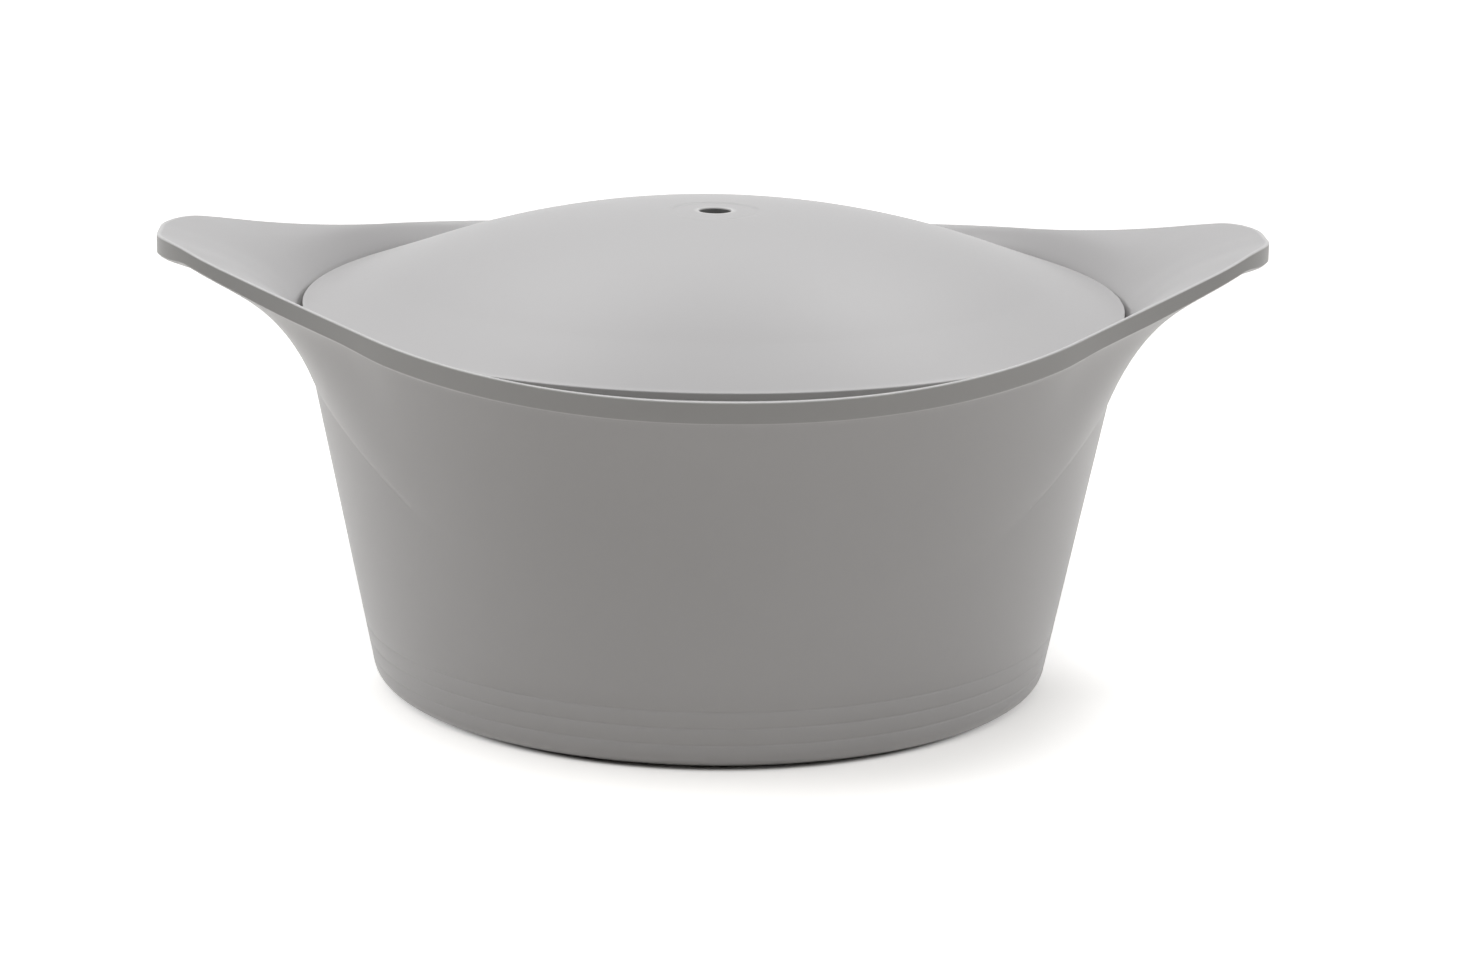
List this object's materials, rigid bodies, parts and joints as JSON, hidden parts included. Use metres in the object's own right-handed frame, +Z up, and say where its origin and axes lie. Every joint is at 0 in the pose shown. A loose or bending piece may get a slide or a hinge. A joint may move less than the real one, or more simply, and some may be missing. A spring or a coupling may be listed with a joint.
{
  "type": "casserole pot",
  "caption": "Round casserole pot with a tapered wall, a rim that sweeps up and out into flat wing handles, and a domed lid with a steam vent that rests on a ledge inside the rim.",
  "frame": {"origin": "centre of the induction disc's lower face, where the pot's axis meets the surface that the pot stands on", "axes": "+Z up along the pot's axis, +X along the line through both wing handles, -Y towards the front"},
  "size_m": [0.3396, 0.2676, 0.1463],
  "materials": {
    "warm_grey_coating": "satin warm-grey ceramic coating on cast aluminium",
    "disc_steel": "turned ferritic steel"
  },
  "bodies": {
    "pot": {"pot_body": "warm_grey_coating", "induction_disc": "disc_steel"},
    "lid": {"lid": "warm_grey_coating"}
  },
  "joints": [
    {"name": "lid_lift", "type": "slide", "parent": "pot", "child": "lid", "axis": [0, 0, 1], "range_m": [0, 0.12]}
  ]
}
